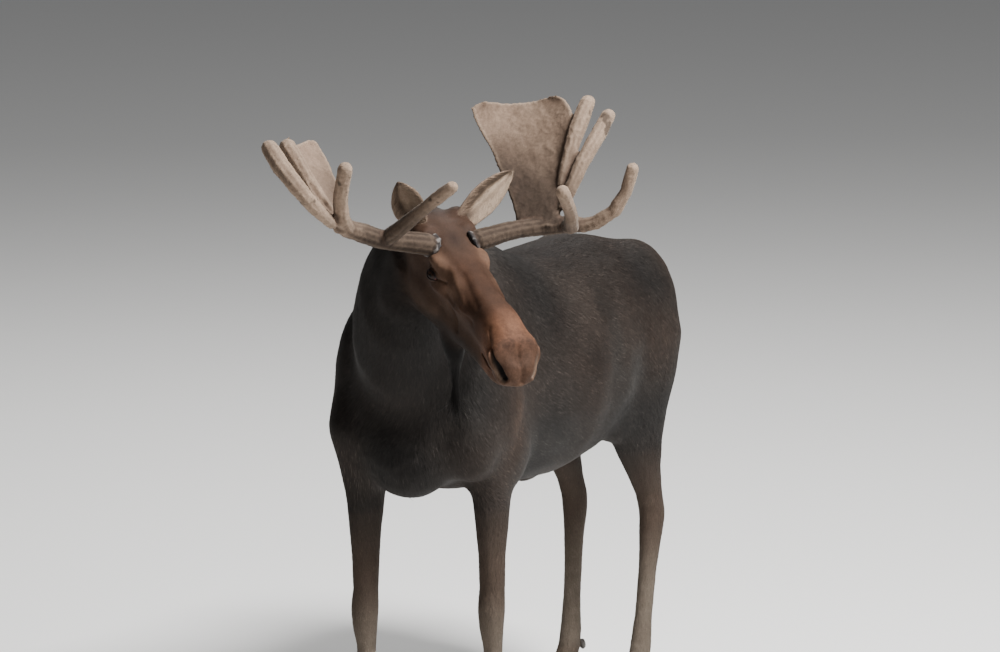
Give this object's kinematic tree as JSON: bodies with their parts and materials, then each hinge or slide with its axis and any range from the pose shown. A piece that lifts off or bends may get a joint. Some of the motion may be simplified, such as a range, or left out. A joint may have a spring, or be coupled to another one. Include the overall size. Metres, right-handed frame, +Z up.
{
  "type": "moose",
  "caption": "Life-size bull moose with velvet antlers, standing on all feet and looking to its left, as a still display model.",
  "frame": {"origin": "on the floor under the middle of the moose's bounding box", "axes": "+Z up; the moose faces -Y with its left side towards +X; its head is turned to +X"},
  "size_m": [1.2578, 2.6646, 2.3019],
  "materials": {
    "coat": "short sleek hair, near-black brown with a grey-blue sheen",
    "ear_coat": "short brown hair with pale hair inside the ear",
    "velvet": "dense short velvet, grey-brown with paler edges",
    "eye": "wet, glossy, dark brown",
    "hoof_horn": "dark horn, worn and slightly glossy"
  },
  "bodies": {
    "root": {"antler_left_beam": "velvet", "antler_left_finger_1": "velvet", "antler_left_finger_2": "velvet", "antler_left_inner_tine": "velvet", "antler_left_outer_tine": "velvet", "antler_left_palm": "velvet", "antler_right_beam": "velvet", "antler_right_finger_1": "velvet", "antler_right_finger_2": "velvet", "antler_right_inner_tine": "velvet", "antler_right_outer_tine": "velvet", "antler_right_palm": "velvet", "bell": "coat", "ear_left": "ear_coat", "ear_right": "ear_coat", "eye_left": "eye", "eye_right": "eye", "foreleg_left_claw_a": "hoof_horn", "foreleg_left_claw_b": "hoof_horn", "foreleg_left_dewclaw_a": "hoof_horn", "foreleg_left_dewclaw_b": "hoof_horn", "foreleg_left_lower": "coat", "foreleg_left_upper": "coat", "foreleg_right_claw_a": "hoof_horn", "foreleg_right_claw_b": "hoof_horn", "foreleg_right_dewclaw_a": "hoof_horn", "foreleg_right_dewclaw_b": "hoof_horn", "foreleg_right_lower": "coat", "foreleg_right_upper": "coat", "head": "coat", "hindleg_left_claw_a": "hoof_horn", "hindleg_left_claw_b": "hoof_horn", "hindleg_left_dewclaw_a": "hoof_horn", "hindleg_left_dewclaw_b": "hoof_horn", "hindleg_left_lower": "coat", "hindleg_left_upper": "coat", "hindleg_right_claw_a": "hoof_horn", "hindleg_right_claw_b": "hoof_horn", "hindleg_right_dewclaw_a": "hoof_horn", "hindleg_right_dewclaw_b": "hoof_horn", "hindleg_right_lower": "coat", "hindleg_right_upper": "coat", "neck": "coat", "tail": "coat", "trunk": "coat"}
  },
  "joints": []
}
